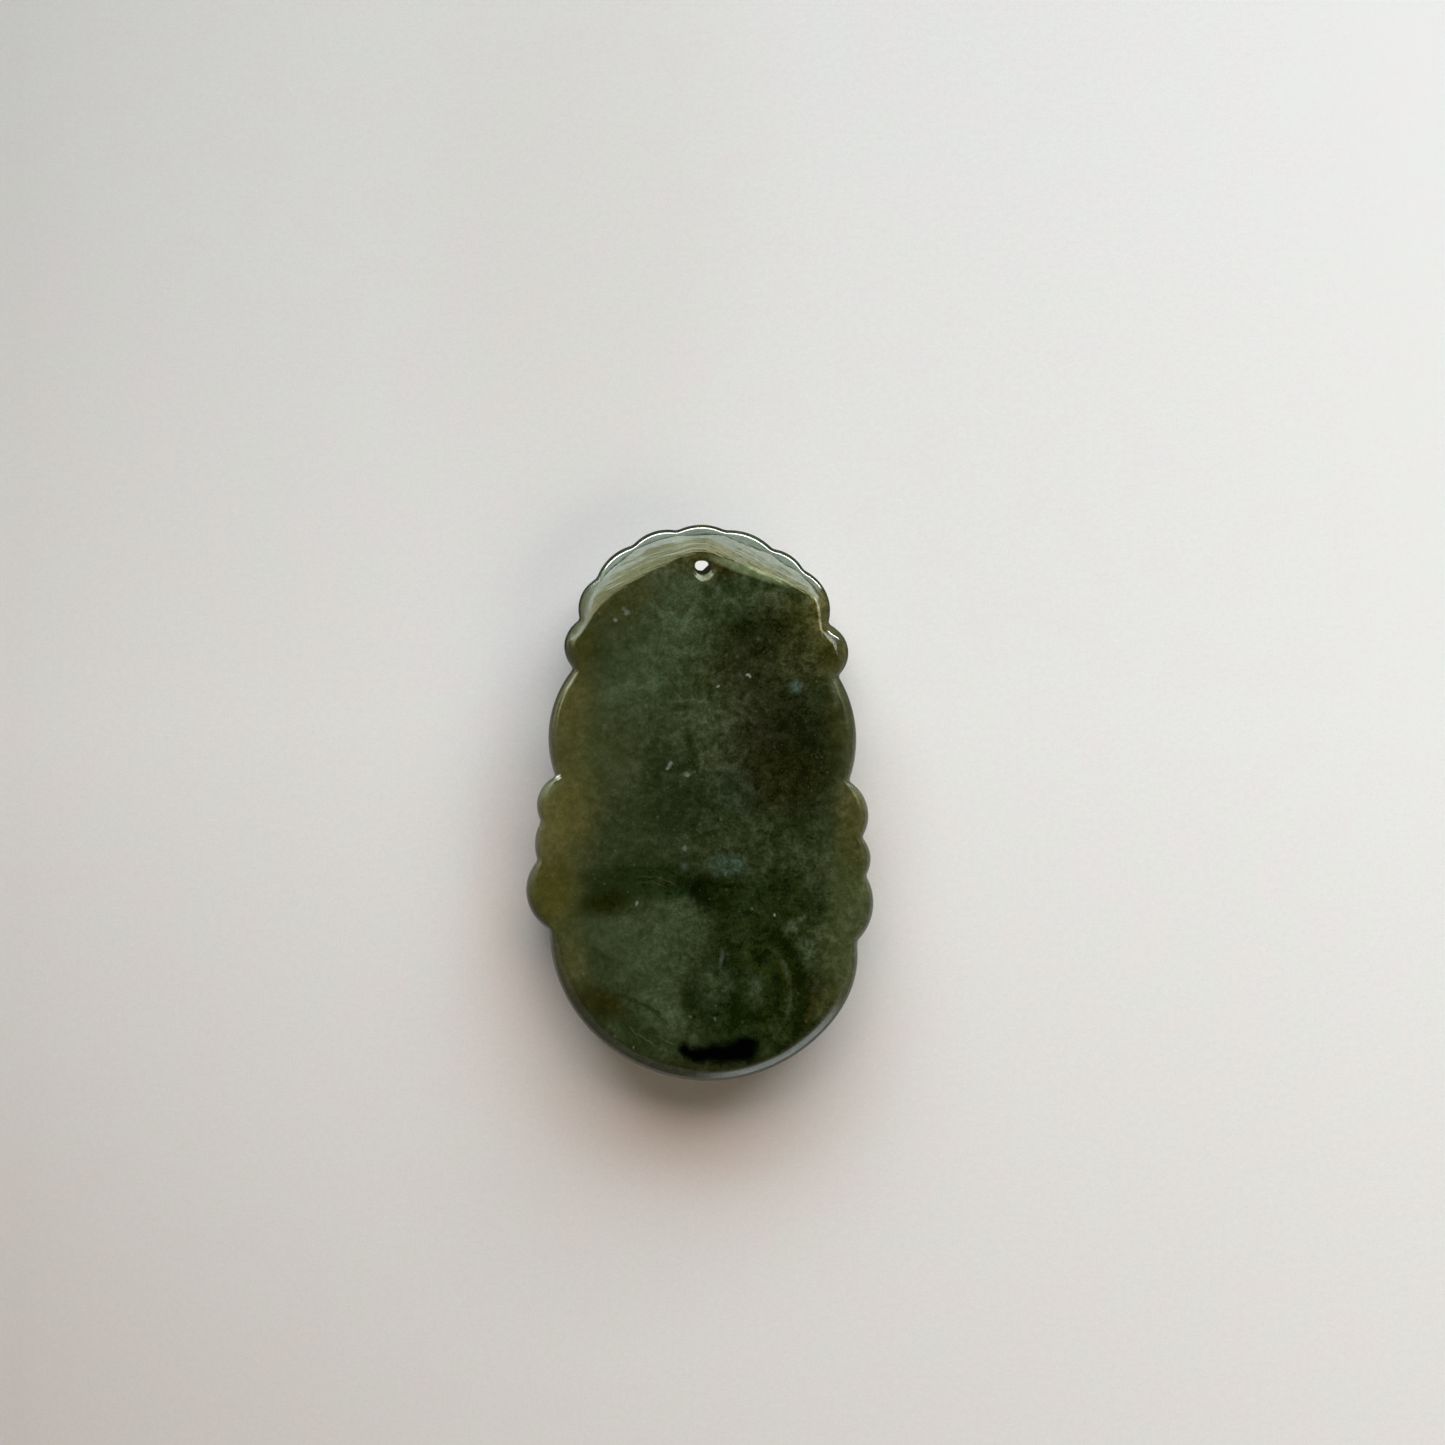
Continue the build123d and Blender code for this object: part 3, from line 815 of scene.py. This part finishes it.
def soft_arc_group():
    """A soft-edged piece of a ring that fades out at its two ends, in millimetres."""
    tree, given, result = new_group(
        "soft_arc",
        [("Place", "Vector"), ("Rough", "Vector"), ("Centre", "Vector"), ("Radius", "Float"),
         ("Width", "Float"), ("Facing", "Vector"), ("Spread", "Float"), ("Ragged", "Float")],
        [("Mask", "Float")],
    )
    offset = offset_in(tree, given)
    away = measured(tree, "LENGTH", offset)
    gap = calc(tree, "ABSOLUTE", less(tree, away, given["Radius"]))
    band = smooth_step(tree, gap, given["Width"], 0.0)
    unit = vector_calc(tree, "NORMALIZE", offset)
    turn = calc(tree, "ARCCOSINE", measured(tree, "DOT_PRODUCT", unit, given["Facing"]))
    ends = smooth_step(tree, turn, given["Spread"], times(tree, given["Spread"], 0.4))
    tree.links.new(times(tree, band, ends), result["Mask"])
    return tree


def mottle_group():
    """A cloudy tint about 1 that lightens and darkens the colour it multiplies, blue the most."""
    tree, given, result = new_group(
        "mottle",
        [("Place", "Vector"), ("Size", "Float"), ("Detail", "Float"), ("Twist", "Float"), ("Crisp", "Float"),
         ("Depth", "Float"), ("Calm", "Float")],
        [("Tint", "Vector")],
    )
    scale = calc(tree, "DIVIDE", 1.0, given["Size"])
    cloud = grained(tree, given["Place"], scale, given["Detail"], 0.6, given["Twist"])["Fac"]
    low, high = less(tree, 0.5, given["Crisp"]), plus(tree, 0.5, given["Crisp"])
    centred = less(tree, smooth_step(tree, cloud, low, high), 0.5)
    swing = times(tree, centred, given["Depth"], given["Calm"])
    value = calc(tree, "MAXIMUM", plus(tree, swing, 1.0), 0.15)
    channels = [("X", calc(tree, "POWER", value, 1.1)), ("Y", value), ("Z", calc(tree, "POWER", value, 1.6))]
    tree.links.new(put(tree, "CombineXYZ", channels).outputs[0], result["Tint"])
    return tree


def flecks_group():
    """Small dots, as many as Share says, each in a cell of its own."""
    tree, given, result = new_group(
        "flecks",
        [("Place", "Vector"), ("Size", "Float"), ("Dot", "Float"), ("Share", "Float")],
        [("Mask", "Float")],
    )
    cells = put(
        tree, "TexVoronoi",
        [("Vector", given["Place"]), ("Scale", calc(tree, "DIVIDE", 1.0, given["Size"])), ("Randomness", 1.0)],
    )
    dot = smooth_step(tree, cells.outputs["Distance"], given["Dot"], times(tree, given["Dot"], 0.3))
    pick = parts_of(tree, cells.outputs["Color"])
    chosen = calc(tree, "LESS_THAN", pick["X"], given["Share"])
    tree.links.new(times(tree, dot, chosen, pick["Y"]), result["Mask"])
    return tree


def new_material(name):
    """A material, its nodes, its shader and the place on the piece in millimetres."""
    material = bpy.data.materials.new(name)
    material.use_nodes = True
    tree = material.node_tree
    place = scaled(tree, put(tree, "TexCoord").outputs["Object"], 1 / MM)
    return material, tree, tree.nodes["Principled BSDF"], place


def jade():
    """Polished jade: clouds of olive, moss and shade, thin arcs, pale flecks and a black vein at the foot."""
    material, tree, shader, place = new_material("jade")
    parts = parts_of(tree, place)
    waves = grained(tree, place, 0.55, 7.0, 0.72)["Color"]
    rough = scaled(tree, vector_calc(tree, "SUBTRACT", waves, (0.5, 0.5, 0.5)), 4.0)
    patch, arc, mottle, flecks = soft_patch_group(), soft_arc_group(), mottle_group(), flecks_group()

    def mask_of(group, **values):
        node = put(tree, "Group", node_tree=group)
        tree.links.new(place, node.inputs["Place"])
        if "Rough" in node.inputs:
            tree.links.new(rough, node.inputs["Rough"])
        for key, value in values.items():
            node.inputs[key.replace("_", " ")].default_value = value
        return node.outputs[0]

    def patch_at(x, y, half_width, half_height, softness, ragged, turn=0):
        return mask_of(
            patch, Centre=(x, y, 0), Half_Size=(half_width, half_height, 1), Turn=math.radians(turn),
            Softness=softness, Ragged=ragged,
        )

    def laid_over(colour, mask, strength, top):
        return mixed(tree, times(tree, mask, strength), colour, top)

    spread = smooth_step(tree, grained(tree, place, 0.11, 3.0, distortion=0.4)["Fac"], 0.4, 0.6)
    colour = laid_over(seen("moss"), less(tree, 1.0, spread), 0.4, seen("pond"))
    for _, x, y, half_width, half_height, turn, softness, ragged, tone, strength in CLOUDS:
        mask = patch_at(x, y, half_width, half_height, softness, ragged, turn)
        colour = laid_over(colour, mask, strength, seen(tone))
    for _, x, y, radius, width, facing, arc_spread, tone, strength in ARCS:
        mask = mask_of(
            arc, Centre=(x, y, 0), Radius=radius, Width=width, Facing=(*towards(facing), 0),
            Spread=math.radians(arc_spread), Ragged=0.35,
        )
        colour = laid_over(colour, mask, strength, seen(tone))
    bevel = put(tree, "Attribute", attribute_name="bevel").outputs["Fac"]
    # Painted glow: a pale green band along the border of the crown's bevel, standing in for light seen through
    # the thin stone there
    painted_bevel_glow = times(tree, patch_at(5.2, 24.05, 4.0, 0.48, 0.4, 0.08, -19), smooth_step(tree, bevel, 0.75, 0.45))
    colour = laid_over(colour, painted_bevel_glow, 0.95, seen("painted_glow_green"))
    calm = plus(tree, times(tree, smooth_step(tree, parts["X"], -14.0, 6.0), 1.05), 0.6)
    calm = less(tree, calm, times(tree, smooth_step(tree, parts["X"], 11.5, 14.5), 0.7))
    for size, detail, twist, crisp, depth in MOTTLES:
        node = put(
            tree, "Group",
            [("Place", place), ("Size", size), ("Detail", detail), ("Twist", twist), ("Crisp", crisp),
             ("Depth", depth), ("Calm", calm)],
            node_tree=mottle,
        )
        colour = vector_calc(tree, "MULTIPLY", colour, node.outputs["Tint"])
    colour = laid_over(colour, painted_bevel_glow, 0.45, seen("painted_glow_green"))
    for size, dot, share, strength in ((0.55, 0.42, 0.04, 0.16), (0.34, 0.45, 0.06, 0.14)):
        colour = laid_over(colour, mask_of(flecks, Size=size, Dot=dot, Share=share), strength, FLECK_COLOUR)
    grit = smooth_step(tree, grained(tree, place, 2.6, 3.0, 0.7)["Fac"], 0.54, 0.68)
    colour = laid_over(colour, times(tree, grit, patch_at(9.6, 15.2, 4.0, 2.8, 0.6, 0.8)), 0.5, GRAIN_COLOUR)
    for x, y, half_width, half_height, strength in SPECKS:
        colour = laid_over(colour, patch_at(x, y, half_width, half_height, 0.7, 0.2), strength, SPECK_COLOUR)
    colour = laid_over(colour, patch_at(2.8, -25.4, 4.4, 1.7, 0.6, 0.6), 0.7, seen("pine"))
    for x, y, half_width, half_height, turn in VEIN:
        colour = laid_over(colour, patch_at(x, y, half_width, half_height, 0.6, 0.5, turn), 1.0, seen("ink"))
    inward = put(tree, "Attribute", attribute_name="inward").outputs["Fac"]
    # Painted shade: the stone darkened within 0.3 mm of its outline, where its steep edge mirrors the dark
    # paper beside it
    colour = laid_over(colour, smooth_step(tree, inward, 0.30, 0.10), 0.7, seen("deep"))
    tree.links.new(colour, shader.inputs["Base Color"])
    side_height = less(tree, parts["Y"], times(tree, parts["X"], 0.18))
    side_rim = times(
        tree, smooth_step(tree, side_height, 13.5, 9.5), smooth_step(tree, parts["Y"], -15.0, -11.0),
        smooth_step(tree, inward, 2.4, 1.4),
    )
    left_rim = times(
        tree, smooth_step(tree, parts["X"], -9.5, -10.5), smooth_step(tree, parts["Y"], 15.0, 18.0),
        smooth_step(tree, inward, 1.6, 0.9),
    )
    dull = times(tree, calc(tree, "MAXIMUM", side_rim, left_rim), 0.22)
    sleeve_top = patch_at(-16.0, 1.2, 1.5, 1.2, 0.9, 0.0)
    sleeve_top = times(tree, sleeve_top, smooth_step(tree, inward, 1.9, 0.9), 0.36)
    dull = calc(tree, "MAXIMUM", dull, sleeve_top)
    tree.links.new(plus(tree, dull, 0.05), shader.inputs["Roughness"])
    shader.inputs["IOR"].default_value = 1.6
    shader.inputs["Subsurface Weight"].default_value = 0.3
    shader.inputs["Subsurface Radius"].default_value = (1.0, 0.9, 0.5)
    shader.inputs["Subsurface Scale"].default_value = 0.0012
    # Waves of the polish, which run along the bevel of the crown and are faint on the flat back
    along = put(tree, "CombineXYZ", [("X", times(tree, bevel, 1.3))]).outputs[0]
    streak_place = vector_calc(tree, "ADD", along, vector_calc(tree, "MULTIPLY", place, (0.16, 0.30, 0.0)))
    streaks = less(tree, grained(tree, streak_place, 1.0, 3.0, 0.55)["Fac"], 0.5)
    on_crown = plus(tree, times(tree, smooth_step(tree, bevel, -0.9, 0.0), 0.85), 0.15)
    swing = plus(tree, times(tree, streaks, on_crown), 0.5)
    wavy = times(tree, swing, smooth_step(tree, inward, 0.7, 1.6))
    polish = put(tree, "Bump", [("Height", wavy), ("Strength", 1.0), ("Distance", 0.00006)])
    tree.links.new(polish.outputs["Normal"], shader.inputs["Normal"])
    return material


def mark_places(data):
    """Give each vertex, in millimetres, how far beyond the bevel's border and in from the outline it lies."""
    outline = outline_points()
    tree = kdtree.KDTree(len(outline))
    for index, point in enumerate(outline):
        tree.insert((*point, 0), index)
    tree.balance()
    bevel = data.attributes.new("bevel", "FLOAT", "POINT")
    inward = data.attributes.new("inward", "FLOAT", "POINT")
    for vert in data.vertices:
        bevel.data[vert.index].value = beyond_border(vert.co.xy)[0] / MM
        inward.data[vert.index].value = tree.find((*vert.co.xy, 0))[2] / MM


mark_places(drilled)
drilled.materials.clear()
drilled.materials.append(jade())

# Paper that the stone lies on, as the eye sees it far from the stone, with painted light and shade: brighter
# towards the right, darker at the left
PAPER_ROWS = (
    # height, left, right
    (0.0, (189, 182, 175), (225, 221, 216)),
    (0.5, (208, 204, 199), (236, 235, 231)),
    (1.0, (197, 196, 192), (238, 238, 236)),
)
PAPER_REACH = 75.0  # millimetres from the middle of the picture to its side
LIGHT_ON_PAPER = 0.83
UNDER_HOLE = (0.1, 25.0, 0.0)  # the middle of the paper that shows through the cord hole
HOLE_SHADE = (0.058, 0.050, 0.024, 1)
# Painted shade on the paper: a rosy and a grey wash beside the stone, and grey fields above and below it
PAINTED_PAPER_SHADES = (
    # name, x, y, half_width, half_height, colour
    ("rosy_left", -18.5, -9.0, 6.0, 13.0, (1.0, 0.957, 0.925, 1)),
    ("grey_right", 19.0, -3.0, 5.0, 10.0, (0.965, 0.953, 0.955, 1)),
    ("grey_top", -12.0, 64.0, 18.0, 36.0, (0.972, 0.963, 0.950, 1)),
    ("grey_low", -12.0, -46.0, 16.0, 11.0, (0.972, 0.970, 0.968, 1)),
)


def paper():
    """Pale paper with painted light and shade, brighter towards the upper right and warmer towards the lower
    left, with a fine grain.
    """
    material, tree, shader, place = new_material("paper")
    parts = parts_of(tree, place)
    across = plus(tree, calc(tree, "DIVIDE", parts["X"], 2 * PAPER_REACH), 0.484)
    across = calc(tree, "POWER", calc(tree, "MAXIMUM", across, 0.0), 0.75)
    up = plus(tree, calc(tree, "DIVIDE", parts["Y"], 2 * PAPER_REACH), 0.444)

    def side(levels):
        return (*[((level / 255 + 0.055) / 1.055) ** 2.4 / LIGHT_ON_PAPER for level in levels], 1.0)

    rows = [mixed(tree, across, side(left), side(right)) for _, left, right in PAPER_ROWS]
    lower = mixed(tree, times(tree, up, 2.0), rows[0], rows[1])
    colour = mixed(tree, less(tree, times(tree, up, 2.0), 1.0), lower, rows[2])
    blotch = smooth_step(tree, grained(tree, place, 0.18, 3.0)["Fac"], 0.35, 0.65)
    tint = mixed(tree, blotch, (1.0, 0.985, 0.985, 1), (0.985, 1.0, 0.985, 1))
    colour = vector_calc(tree, "MULTIPLY", colour, tint)
    for _, x, y, half_width, half_height, wash in PAINTED_PAPER_SHADES:
        offset = vector_calc(tree, "SUBTRACT", place, (x, y, 0))
        away = measured(tree, "LENGTH", vector_calc(tree, "DIVIDE", offset, (half_width, half_height, 1)))
        shown = mixed(tree, smooth_step(tree, away, 1.5, 0.4), (1, 1, 1, 1), wash)
        colour = vector_calc(tree, "MULTIPLY", colour, shown)
    coarse = plus(tree, times(tree, grained(tree, place, 1.6, 4.0, 0.7)["Fac"], 0.12), 0.94)
    fine = plus(tree, times(tree, grained(tree, place, 4.5, 2.0, 0.6)["Fac"], 0.16), 0.92)
    # Painted shade: where the polish mirrors the paper beyond the crown, the paper is coloured darker
    rays = put(tree, "LightPath").outputs
    behind = times(tree, rays["Is Glossy Ray"], smooth_step(tree, parts["Y"], 4.0, 18.0))
    shade = less(tree, 1.0, times(tree, behind, 0.75))
    # The paper under the cord hole is in the dark, and lights the wall of the hole only a little
    away = measured(tree, "DISTANCE", place, UNDER_HOLE)
    unwatched = less(tree, 1.0, rays["Is Camera Ray"])
    wide = times(tree, smooth_step(tree, away, 2.2, 1.4), unwatched)
    hidden = calc(tree, "MAXIMUM", wide, smooth_step(tree, away, 1.25, 1.0))
    colour = mixed(tree, hidden, scaled(tree, colour, times(tree, coarse, fine, shade)), HOLE_SHADE)
    tree.links.new(colour, shader.inputs["Base Color"])
    shader.inputs["Roughness"].default_value = 0.9
    shader.inputs["Specular IOR Level"].default_value = 0.0
    # A painted glow: a spot of the paper under the cord hole gives off light of its own, for camera rays only,
    # so it shows bright through the hole
    from_hole = vector_calc(tree, "SUBTRACT", place, (0.12, 25.12, 0))
    sizes = parts_of(tree, vector_calc(tree, "MULTIPLY", from_hole, (1.40, 1.92, 0)))
    powers = [calc(tree, "POWER", calc(tree, "ABSOLUTE", sizes[axis]), 2.5) for axis in ("X", "Y")]
    away = calc(tree, "POWER", calc(tree, "ADD", *powers), 1 / 2.5)
    across_cut = measured(tree, "DOT_PRODUCT", from_hole, (0.69, -0.72, 0))
    spot = times(tree, smooth_step(tree, away, 1.06, 0.94), smooth_step(tree, across_cut, 0.475, 0.40))
    shader.inputs["Emission Color"].default_value = (1.0, 0.98, 0.95, 1)
    tree.links.new(times(tree, spot, rays["Is Camera Ray"], 0.8), shader.inputs["Emission Strength"])
    return material


floor = bmesh.new()
bmesh.ops.create_grid(floor, x_segments=1, y_segments=1, size=0.4)
floor_data = finished(floor, "paper")
floor_data.materials.append(paper())
placed("paper", floor_data)

# Camera, straight above
VIEW_CENTRE = Vector((2.35, 8.34)) * MM
VIEW_DISTANCE = 244 * MM
VIEW_WIDTH = 152.0 * MM
lens = bpy.data.cameras.new("camera")
lens.sensor_width = 36
lens.lens = 36 * (VIEW_DISTANCE - 4 * MM) / VIEW_WIDTH
camera = bpy.data.objects.new("camera", lens)
camera.location = (*VIEW_CENTRE, VIEW_DISTANCE)
bpy.context.scene.collection.objects.link(camera)
bpy.context.scene.camera = camera

# Windows of the room, each a soft-edged field of the sky, in degrees
LIGHT_WINDOWS = (
    # name, azimuth, half_width, ends, low, high, softness, colour, strength
    ("room", 0, 200, 8, -5, 62, 14, (1.0, 0.70, 0.58), 0.05),
    ("low_window", 82, 44, 10, 12, 32, 5, (0.75, 0.972, 1.10), 7.57),
    ("window", 82, 44, 10, 32, 58, 5, (1.22, 0.972, 0.905), 2.55),
    ("side_window", -42, 30, 10, 20, 44, 6, (1.10, 0.972, 0.742), 1.65),
)
# The same room as the polished stone mirrors it
MIRRORED_WINDOWS = (
    # name, azimuth, half_width, ends, low, high, softness, colour, strength
    ("room", 0, 200, 8, -5, 48, 14, (1.0, 0.9, 0.8), 0.30),
    ("left_wall", 160, 14, 8, -12, 22, 8, (1.0, 0.9, 0.78), 1.1),
    ("sheer_curtain", 58, 46, 8, 51.5, 56.0, 1.5, (1.0, 1.0, 0.62), 4.6),
    ("olive_shade", 71, 33, 8, 46.5, 52.0, 2, (1.0, 1.03, 0.64), 2.7),
    ("right_cream_pane", 35, 9, 5, 42.0, 50.0, 3, (1.0, 1.04, 0.70), 3.6),
    ("left_cream_pane", 137, 31, 8, 43.5, 51.0, 3, (1.0, 1.02, 0.58), 3.0),
    ("left_olive_shade", 137, 31, 8, 51.5, 58.0, 5, (1.0, 1.0, 0.62), 2.4),
    ("right_blue_pane", 73, 35, 8, 29.5, 46.5, 3, (0.90, 1.0, 0.88), 5.5),
    ("left_blue_pane", 131, 23, 8, 25.5, 43.0, 3, (0.88, 1.0, 0.90), 5.3),
    ("right_low_pane", 74, 32, 6, 4.5, 26.0, 2, (0.82, 1.0, 0.95), 2.8),
    ("left_low_pane", 122, 16, 6, 4.5, 21.5, 2, (0.82, 1.0, 0.95), 3.3),
    ("foot_lamp", -64, 22, 12, -24, 36, 14, (0.90, 1.0, 0.97), 2.3),
)
LAMP_STRIP = (("lamp_strip", 86, 46, 3, -4.0, 4.5, 1.5, (0.95, 1.0, 0.97), 34.0),)


def sky(tree, windows):
    """The colour of the sky that a table of windows gives."""
    parts = parts_of(tree, put(tree, "TexCoord").outputs["Generated"])
    height = times(tree, calc(tree, "ARCSINE", parts["Z"]), 180 / math.pi)
    level = calc(tree, "SQRT", less(tree, 1.0, times(tree, parts["Z"], parts["Z"])))
    total = (0.0, 0.0, 0.0)
    for _, azimuth, half_width, ends, low, high, softness, colour, strength in windows:
        lower = smooth_step(tree, height, low - softness / 2, low + softness / 2)
        upper = smooth_step(tree, height, high + softness / 2, high - softness / 2)
        field = times(tree, lower, upper)
        if half_width < 180:
            middle = towards(azimuth)
            across = plus(tree, times(tree, parts["X"], middle.x), times(tree, parts["Y"], middle.y))
            sides = [math.cos(math.radians(half_width + edge)) for edge in (ends, -ends)]
            field = times(tree, field, smooth_step(tree, calc(tree, "DIVIDE", across, level), *sides))
        total = vector_calc(tree, "ADD", total, scaled(tree, colour, times(tree, field, strength)))
    return total


def room_light():
    """The world: soft windows that light the paper, and the same room as the polish mirrors it."""
    world = bpy.data.worlds.new("room")
    world.use_nodes = True
    tree = world.node_tree
    light = tree.nodes["Background"]
    tree.links.new(sky(tree, LIGHT_WINDOWS), light.inputs["Color"])
    curtains = grained(tree, put(tree, "TexCoord").outputs["Generated"], 9.0, 3.0, 0.6)["Fac"]
    folds = plus(tree, times(tree, curtains, 1.3), 0.35)
    panes = scaled(tree, sky(tree, MIRRORED_WINDOWS), folds)
    mirrored = put(tree, "Background", [("Color", vector_calc(tree, "ADD", panes, sky(tree, LAMP_STRIP)))])
    either = put(
        tree, "MixShader",
        [(0, put(tree, "LightPath").outputs["Is Glossy Ray"]), (1, light.outputs[0]), (2, mirrored.outputs[0])],
    )
    tree.links.new(either.outputs[0], tree.nodes["World Output"].inputs["Surface"])
    return world


bpy.context.scene.world = room_light()
bpy.context.scene.view_settings.view_transform = "Standard"
